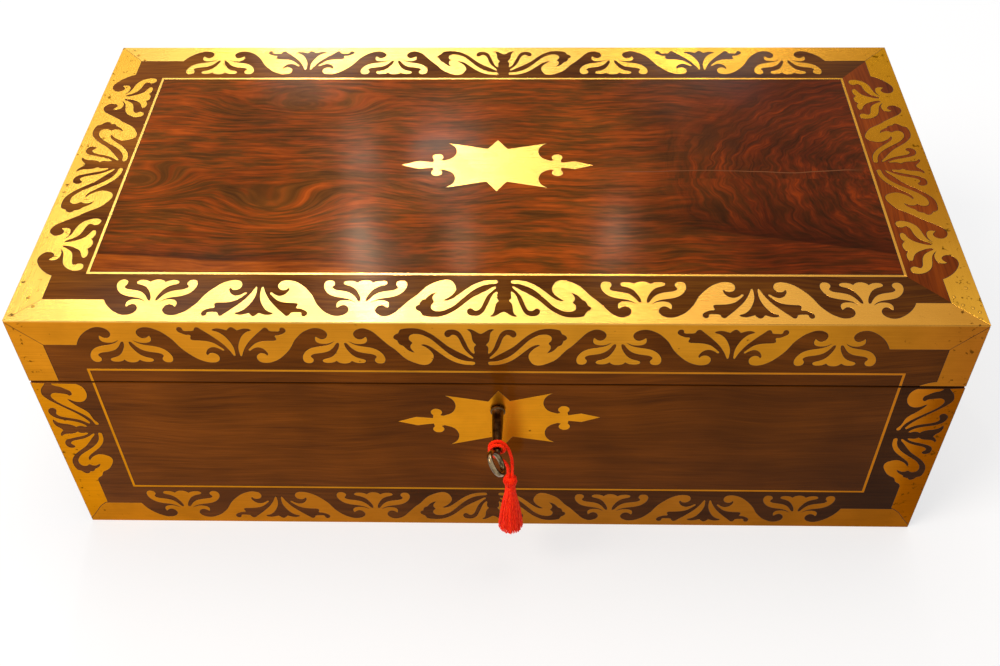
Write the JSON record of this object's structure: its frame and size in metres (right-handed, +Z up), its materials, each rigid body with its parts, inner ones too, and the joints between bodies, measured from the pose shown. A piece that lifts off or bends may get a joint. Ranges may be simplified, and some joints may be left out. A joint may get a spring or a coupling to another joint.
{
  "type": "writing slope",
  "caption": "Brass-inlaid rosewood box that opens on a sloping cut into a leather-lined writing surface with hinged flaps, pen tray, inkwells, lock and tasselled key.",
  "frame": {"origin": "centre of the underside of the closed box, on the surface it stands on", "axes": "+X along the box to the right as seen from the lock side, +Y from the lock to the hinges, +Z up"},
  "size_m": [0.508, 0.306, 0.178],
  "materials": {
    "rosewood": "french polished",
    "mahogany": "waxed",
    "inlay_brass": "polished, worn",
    "fittings_brass": "aged satin",
    "steel": "worn, browned",
    "glass": "cut and polished",
    "leather": "tooled skiver",
    "silk": "silk floss"
  },
  "bodies": {
    "base": {"base_floor": "mahogany", "base_front_board": "mahogany", "base_back_board": "mahogany", "base_left_board": "mahogany", "base_right_board": "mahogany", "base_front_veneer": "rosewood", "base_side_veneers": "rosewood", "base_back_veneer": "rosewood", "base_front_border": "inlay_brass", "base_front_stringing": "inlay_brass", "key_escutcheon": "inlay_brass", "lock_case": "fittings_brass", "hinge_base_leaves": "fittings_brass", "hinge_pins": "steel", "base_flap_ledges": "mahogany", "base_flap_hinge_leaves": "fittings_brass", "compartment_dividers": "mahogany", "pen_tray": "mahogany", "left_inkwell": "glass", "left_inkwell_cap": "fittings_brass", "right_inkwell": "glass", "right_inkwell_cap": "fittings_brass", "left_handle_plate": "fittings_brass", "right_handle_plate": "fittings_brass", "base_screws": "fittings_brass"},
    "lid": {"lid_top_board": "mahogany", "lid_front_board": "mahogany", "lid_back_board": "mahogany", "lid_left_board": "mahogany", "lid_right_board": "mahogany", "lid_top_veneer": "rosewood", "lid_front_veneer": "rosewood", "lid_side_veneers": "rosewood", "lid_back_veneer": "rosewood", "lid_front_border": "inlay_brass", "lid_front_stringing": "inlay_brass", "lid_top_border_front": "inlay_brass", "lid_top_border_back": "inlay_brass", "lid_top_border_left": "inlay_brass", "lid_top_border_right": "inlay_brass", "lid_top_stringing": "inlay_brass", "lid_cartouche": "inlay_brass", "lid_flap_ledges": "mahogany", "lid_flap_hinge_leaves": "fittings_brass", "lock_link_plate": "fittings_brass", "hinge_lid_leaves": "fittings_brass", "lid_screws": "fittings_brass"},
    "base_flap": {"base_flap": "mahogany", "base_flap_leather": "leather", "base_flap_moving_leaves": "fittings_brass"},
    "lid_flap": {"lid_flap": "mahogany", "lid_flap_leather": "leather", "lid_flap_moving_leaves": "fittings_brass"},
    "key": {"key": "steel"},
    "lock_bolt": {"lock_bolt": "steel"},
    "left_handle": {"left_handle_bail": "fittings_brass"},
    "right_handle": {"right_handle_bail": "fittings_brass"},
    "tassel": {"key_cord": "silk", "tassel": "silk"}
  },
  "joints": [
    {"name": "lid_hinge", "type": "hinge", "parent": "base", "child": "lid", "pos_m": [0, 0.1296, 0.089], "axis": [-1, 0, 0], "range_deg": [0, 180]},
    {"name": "base_flap_hinge", "type": "hinge", "parent": "base", "child": "base_flap", "pos_m": [0, 0.1048, 0.09089], "axis": [-1, 0, 0], "range_deg": [0, 63]},
    {"name": "lid_flap_hinge", "type": "hinge", "parent": "lid", "child": "lid_flap", "pos_m": [0, 0.1048, 0.09489], "axis": [1, 0, 0], "range_deg": [0, 63]},
    {"name": "key_turn", "type": "hinge", "parent": "base", "child": "key", "pos_m": [0.0022, -0.125, 0.1095], "axis": [0, -1, 0], "range_deg": [-29, 120]},
    {"name": "bolt_slide", "type": "slide", "parent": "base", "child": "lock_bolt", "axis": [1, 0, 0], "range_m": [-0.0015, 0.0061]},
    {"name": "left_handle_swing", "type": "hinge", "parent": "base", "child": "left_handle", "pos_m": [-0.2519, 0, 0.0675], "axis": [0, 1, 0], "range_deg": [0, 90]},
    {"name": "right_handle_swing", "type": "hinge", "parent": "base", "child": "right_handle", "pos_m": [0.2519, 0, 0.0675], "axis": [0, -1, 0], "range_deg": [0, 90]},
    {"name": "tassel_swing", "type": "hinge", "parent": "base", "child": "tassel", "pos_m": [0.0022, -0.157, 0.1095], "axis": [0, 1, 0], "range_deg": [-45, 45]}
  ],
  "couplings": [
    {"joint": "base_flap_hinge", "follows": "lid_hinge", "ratio": 0.35},
    {"joint": "lid_flap_hinge", "follows": "lid_hinge", "ratio": 0.35},
    {"joint": "bolt_slide", "follows": "key_turn", "m_per_rad": 0.0028648}
  ]
}
